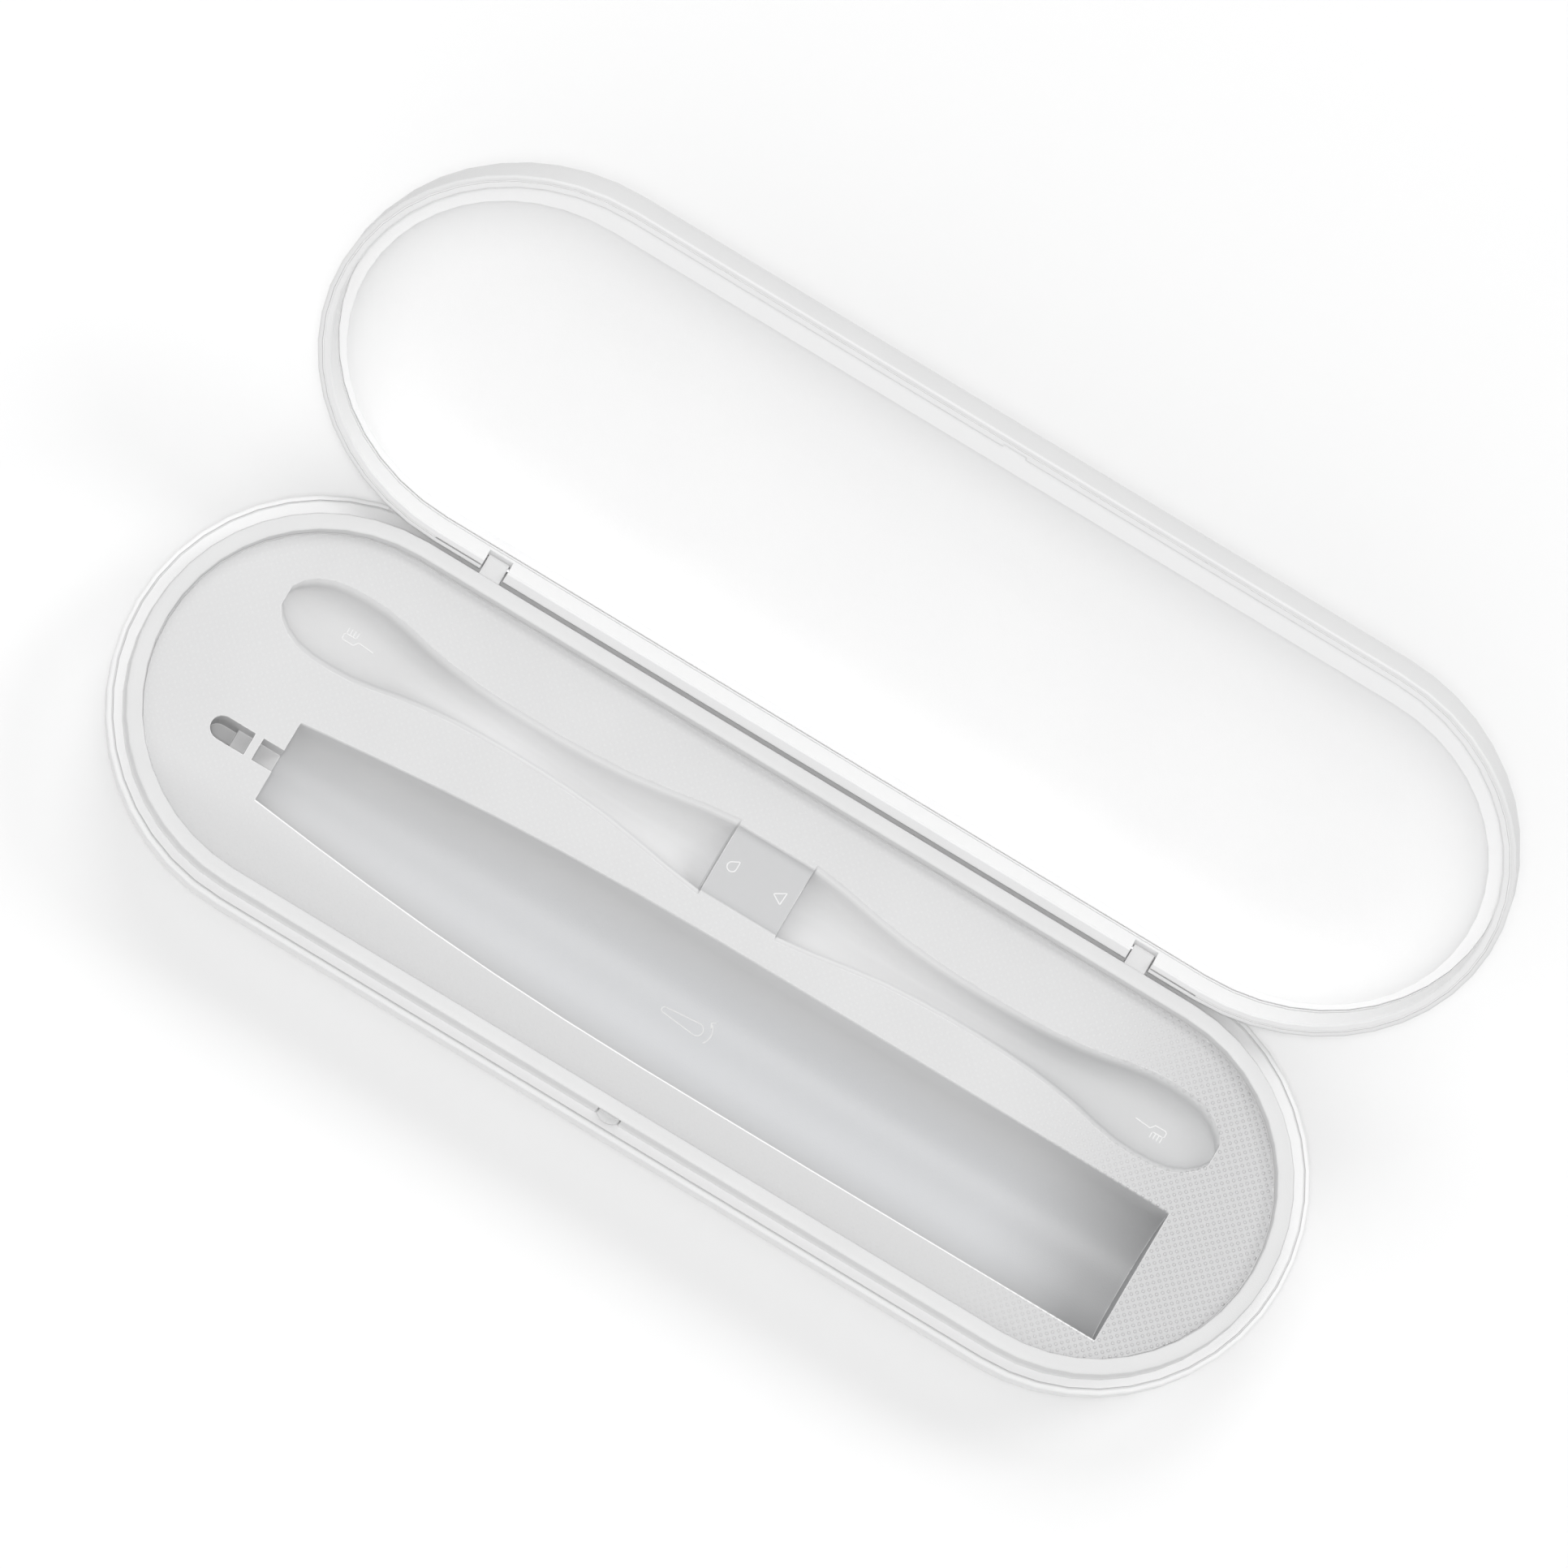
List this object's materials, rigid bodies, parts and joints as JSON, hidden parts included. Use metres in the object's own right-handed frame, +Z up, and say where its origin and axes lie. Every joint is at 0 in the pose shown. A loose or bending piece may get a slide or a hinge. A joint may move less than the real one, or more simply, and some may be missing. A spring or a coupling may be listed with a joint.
{
  "type": "electric toothbrush travel case",
  "caption": "Long stadium-shaped hinged case, open, with a tray that has a bay for a toothbrush handle, a slot for its drive shaft and two bays for spare brush heads.",
  "frame": {"origin": "centre of the base's flat underside, which stands on the table", "axes": "+X along the case towards the square end of the handle bay, +Y across the case towards the hinge, +Z up out of the base's mouth"},
  "size_m": [0.2424, 0.1407, 0.0819],
  "materials": {
    "shell_white": "white, satin to glossy",
    "rim_grey": "pale grey, satin",
    "tray_grey": "pale grey, fine moulded texture on the deck",
    "liner_white": "white, smooth, satin",
    "pin_steel": "plain steel wire"
  },
  "bodies": {
    "base": {"base_shell": "shell_white", "base_rim": "rim_grey", "tray": "tray_grey", "front_catch": "rim_grey", "hinge_pin_left": "pin_steel", "hinge_pin_right": "pin_steel"},
    "lid": {"lid_shell": "shell_white", "lid_rim": "rim_grey", "lid_liner": "liner_white"}
  },
  "joints": [
    {"name": "lid_hinge", "type": "hinge", "parent": "base", "child": "lid", "pos_m": [0, 0.0395, 0.0235], "axis": [1, 0, 0], "range_deg": [0, 135]}
  ]
}
